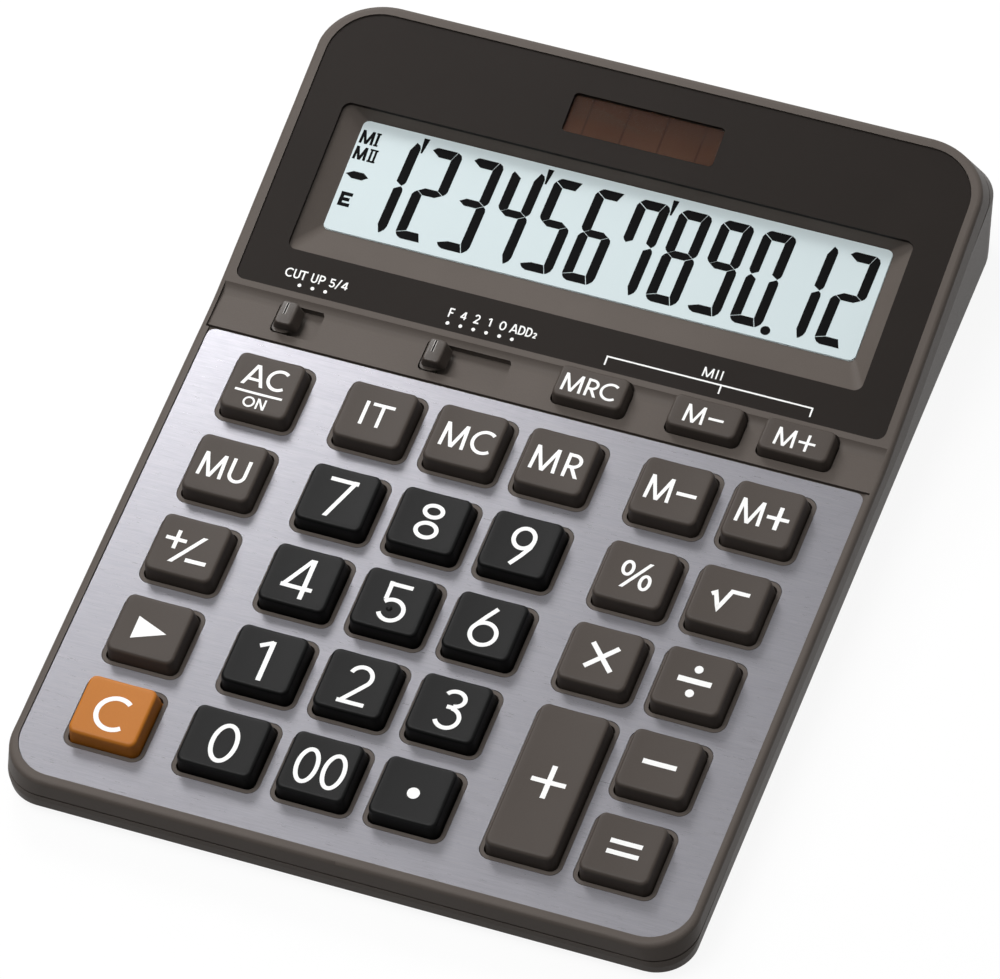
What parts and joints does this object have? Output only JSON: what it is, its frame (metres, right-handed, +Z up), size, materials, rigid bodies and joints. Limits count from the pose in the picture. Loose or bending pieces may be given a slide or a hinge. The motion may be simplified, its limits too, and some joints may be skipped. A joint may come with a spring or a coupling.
{
  "type": "desk calculator",
  "caption": "Wedge-shaped desk calculator with sprung keys, a brushed keypad plate, selector slides, a raised tilted display and a solar cell.",
  "frame": {"origin": "middle of the footprint, on the surface that the feet stand on", "axes": "+X to the user's right, +Y from the user towards the display, +Z up"},
  "size_m": [0.1562, 0.2138, 0.0339],
  "materials": {
    "case_plastic": "fine satin moulding",
    "plate_metal": "horizontally brushed and anodised",
    "panel_dark": "dark satin sheet",
    "lcd": "grey-blue liquid crystal cell",
    "lcd_film": "front film over the display",
    "inner_plastic": "plain moulding",
    "silicone": "soft translucent silicone",
    "board": "solder-resist green",
    "epoxy": "potting compound",
    "cable": "flat ribbon",
    "solar": "brown amorphous cell",
    "clear_cover": "clear cover",
    "knob_plastic": "satin moulding",
    "contact_metal": "plated spring strip",
    "screw_metal": "zinc plated",
    "feet_rubber": "matt rubber",
    "key_black": "satin moulding with light legends",
    "key_grey": "satin moulding with light legends",
    "key_orange": "satin moulding with light legends"
  },
  "bodies": {
    "case": {"battery_cover": "case_plastic", "battery_cover_screw": "screw_metal", "battery_minus_contact": "contact_metal", "battery_plus_contact": "contact_metal", "board_screws": "screw_metal", "bottom_case": "case_plastic", "button_cell": "screw_metal", "capacitor": "epoxy", "case_screws": "screw_metal", "display_board": "board", "display_panel": "panel_dark", "dome_sheet": "silicone", "keypad_plate": "plate_metal", "lcd_connector_strip": "silicone", "lcd_glass": "lcd", "lcd_holder": "inner_plastic", "lcd_polariser": "lcd_film", "main_board": "board", "processor_cover": "epoxy", "ribbon_cable": "cable", "rubber_feet": "feet_rubber", "solar_cell": "solar", "solar_window": "clear_cover", "top_case": "case_plastic"},
    "rounding_slide": {"rounding_knob": "knob_plastic", "rounding_wiper": "contact_metal"},
    "decimal_slide": {"decimal_knob": "knob_plastic", "decimal_wiper": "contact_metal"},
    "key_0": {"key_0": "key_black"},
    "key_00": {"key_00": "key_black"},
    "key_1": {"key_1": "key_black"},
    "key_2": {"key_2": "key_black"},
    "key_3": {"key_3": "key_black"},
    "key_4": {"key_4": "key_black"},
    "key_5": {"key_5": "key_black"},
    "key_6": {"key_6": "key_black"},
    "key_7": {"key_7": "key_black"},
    "key_8": {"key_8": "key_black"},
    "key_9": {"key_9": "key_black"},
    "key_ac": {"key_ac": "key_grey"},
    "key_c": {"key_c": "key_orange"},
    "key_divide": {"key_divide": "key_grey"},
    "key_equals": {"key_equals": "key_grey"},
    "key_it": {"key_it": "key_grey"},
    "key_m2_minus": {"key_m2_minus": "key_grey"},
    "key_m2_plus": {"key_m2_plus": "key_grey"},
    "key_m_minus": {"key_m_minus": "key_grey"},
    "key_m_plus": {"key_m_plus": "key_grey"},
    "key_mc": {"key_mc": "key_grey"},
    "key_minus": {"key_minus": "key_grey"},
    "key_mr": {"key_mr": "key_grey"},
    "key_mrc": {"key_mrc": "key_grey"},
    "key_mu": {"key_mu": "key_grey"},
    "key_percent": {"key_percent": "key_grey"},
    "key_plus": {"key_plus": "key_grey"},
    "key_point": {"key_point": "key_black"},
    "key_root": {"key_root": "key_grey"},
    "key_shift": {"key_shift": "key_grey"},
    "key_sign": {"key_sign": "key_grey"},
    "key_times": {"key_times": "key_grey"}
  },
  "joints": [
    {"name": "rounding_slide_travel", "type": "slide", "parent": "case", "child": "rounding_slide", "axis": [1, 0, 0], "range_m": [0, 0.006]},
    {"name": "decimal_slide_travel", "type": "slide", "parent": "case", "child": "decimal_slide", "axis": [1, 0, 0], "range_m": [0, 0.015]},
    {"name": "key_0_press", "type": "slide", "parent": "case", "child": "key_0", "axis": [0, 0.0558, -0.9984], "range_m": [0, 0.0018], "stiffness_N_per_m": 240, "springref_m": -0.0005},
    {"name": "key_00_press", "type": "slide", "parent": "case", "child": "key_00", "axis": [0, 0.0558, -0.9984], "range_m": [0, 0.0018], "stiffness_N_per_m": 240, "springref_m": -0.0005},
    {"name": "key_1_press", "type": "slide", "parent": "case", "child": "key_1", "axis": [0, 0.0558, -0.9984], "range_m": [0, 0.0018], "stiffness_N_per_m": 240, "springref_m": -0.0005},
    {"name": "key_2_press", "type": "slide", "parent": "case", "child": "key_2", "axis": [0, 0.0558, -0.9984], "range_m": [0, 0.0018], "stiffness_N_per_m": 240, "springref_m": -0.0005},
    {"name": "key_3_press", "type": "slide", "parent": "case", "child": "key_3", "axis": [0, 0.0558, -0.9984], "range_m": [0, 0.0018], "stiffness_N_per_m": 240, "springref_m": -0.0005},
    {"name": "key_4_press", "type": "slide", "parent": "case", "child": "key_4", "axis": [0, 0.0558, -0.9984], "range_m": [0, 0.0018], "stiffness_N_per_m": 240, "springref_m": -0.0005},
    {"name": "key_5_press", "type": "slide", "parent": "case", "child": "key_5", "axis": [0, 0.0558, -0.9984], "range_m": [0, 0.0018], "stiffness_N_per_m": 240, "springref_m": -0.0005},
    {"name": "key_6_press", "type": "slide", "parent": "case", "child": "key_6", "axis": [0, 0.0558, -0.9984], "range_m": [0, 0.0018], "stiffness_N_per_m": 240, "springref_m": -0.0005},
    {"name": "key_7_press", "type": "slide", "parent": "case", "child": "key_7", "axis": [0, 0.0558, -0.9984], "range_m": [0, 0.0018], "stiffness_N_per_m": 240, "springref_m": -0.0005},
    {"name": "key_8_press", "type": "slide", "parent": "case", "child": "key_8", "axis": [0, 0.0558, -0.9984], "range_m": [0, 0.0018], "stiffness_N_per_m": 240, "springref_m": -0.0005},
    {"name": "key_9_press", "type": "slide", "parent": "case", "child": "key_9", "axis": [0, 0.0558, -0.9984], "range_m": [0, 0.0018], "stiffness_N_per_m": 240, "springref_m": -0.0005},
    {"name": "key_ac_press", "type": "slide", "parent": "case", "child": "key_ac", "axis": [0, 0.0558, -0.9984], "range_m": [0, 0.0018], "stiffness_N_per_m": 240, "springref_m": -0.0005},
    {"name": "key_c_press", "type": "slide", "parent": "case", "child": "key_c", "axis": [0, 0.0558, -0.9984], "range_m": [0, 0.0018], "stiffness_N_per_m": 240, "springref_m": -0.0005},
    {"name": "key_divide_press", "type": "slide", "parent": "case", "child": "key_divide", "axis": [0, 0.0558, -0.9984], "range_m": [0, 0.0018], "stiffness_N_per_m": 240, "springref_m": -0.0005},
    {"name": "key_equals_press", "type": "slide", "parent": "case", "child": "key_equals", "axis": [0, 0.0558, -0.9984], "range_m": [0, 0.0018], "stiffness_N_per_m": 240, "springref_m": -0.0005},
    {"name": "key_it_press", "type": "slide", "parent": "case", "child": "key_it", "axis": [0, 0.0558, -0.9984], "range_m": [0, 0.0018], "stiffness_N_per_m": 240, "springref_m": -0.0005},
    {"name": "key_m2_minus_press", "type": "slide", "parent": "case", "child": "key_m2_minus", "axis": [0, 0.0558, -0.9984], "range_m": [0, 0.0018], "stiffness_N_per_m": 240, "springref_m": -0.0005},
    {"name": "key_m2_plus_press", "type": "slide", "parent": "case", "child": "key_m2_plus", "axis": [0, 0.0558, -0.9984], "range_m": [0, 0.0018], "stiffness_N_per_m": 240, "springref_m": -0.0005},
    {"name": "key_m_minus_press", "type": "slide", "parent": "case", "child": "key_m_minus", "axis": [0, 0.0558, -0.9984], "range_m": [0, 0.0018], "stiffness_N_per_m": 240, "springref_m": -0.0005},
    {"name": "key_m_plus_press", "type": "slide", "parent": "case", "child": "key_m_plus", "axis": [0, 0.0558, -0.9984], "range_m": [0, 0.0018], "stiffness_N_per_m": 240, "springref_m": -0.0005},
    {"name": "key_mc_press", "type": "slide", "parent": "case", "child": "key_mc", "axis": [0, 0.0558, -0.9984], "range_m": [0, 0.0018], "stiffness_N_per_m": 240, "springref_m": -0.0005},
    {"name": "key_minus_press", "type": "slide", "parent": "case", "child": "key_minus", "axis": [0, 0.0558, -0.9984], "range_m": [0, 0.0018], "stiffness_N_per_m": 240, "springref_m": -0.0005},
    {"name": "key_mr_press", "type": "slide", "parent": "case", "child": "key_mr", "axis": [0, 0.0558, -0.9984], "range_m": [0, 0.0018], "stiffness_N_per_m": 240, "springref_m": -0.0005},
    {"name": "key_mrc_press", "type": "slide", "parent": "case", "child": "key_mrc", "axis": [0, 0.0558, -0.9984], "range_m": [0, 0.0018], "stiffness_N_per_m": 240, "springref_m": -0.0005},
    {"name": "key_mu_press", "type": "slide", "parent": "case", "child": "key_mu", "axis": [0, 0.0558, -0.9984], "range_m": [0, 0.0018], "stiffness_N_per_m": 240, "springref_m": -0.0005},
    {"name": "key_percent_press", "type": "slide", "parent": "case", "child": "key_percent", "axis": [0, 0.0558, -0.9984], "range_m": [0, 0.0018], "stiffness_N_per_m": 240, "springref_m": -0.0005},
    {"name": "key_plus_press", "type": "slide", "parent": "case", "child": "key_plus", "axis": [0, 0.0558, -0.9984], "range_m": [0, 0.0018], "stiffness_N_per_m": 240, "springref_m": -0.0005},
    {"name": "key_point_press", "type": "slide", "parent": "case", "child": "key_point", "axis": [0, 0.0558, -0.9984], "range_m": [0, 0.0018], "stiffness_N_per_m": 240, "springref_m": -0.0005},
    {"name": "key_root_press", "type": "slide", "parent": "case", "child": "key_root", "axis": [0, 0.0558, -0.9984], "range_m": [0, 0.0018], "stiffness_N_per_m": 240, "springref_m": -0.0005},
    {"name": "key_shift_press", "type": "slide", "parent": "case", "child": "key_shift", "axis": [0, 0.0558, -0.9984], "range_m": [0, 0.0018], "stiffness_N_per_m": 240, "springref_m": -0.0005},
    {"name": "key_sign_press", "type": "slide", "parent": "case", "child": "key_sign", "axis": [0, 0.0558, -0.9984], "range_m": [0, 0.0018], "stiffness_N_per_m": 240, "springref_m": -0.0005},
    {"name": "key_times_press", "type": "slide", "parent": "case", "child": "key_times", "axis": [0, 0.0558, -0.9984], "range_m": [0, 0.0018], "stiffness_N_per_m": 240, "springref_m": -0.0005}
  ]
}
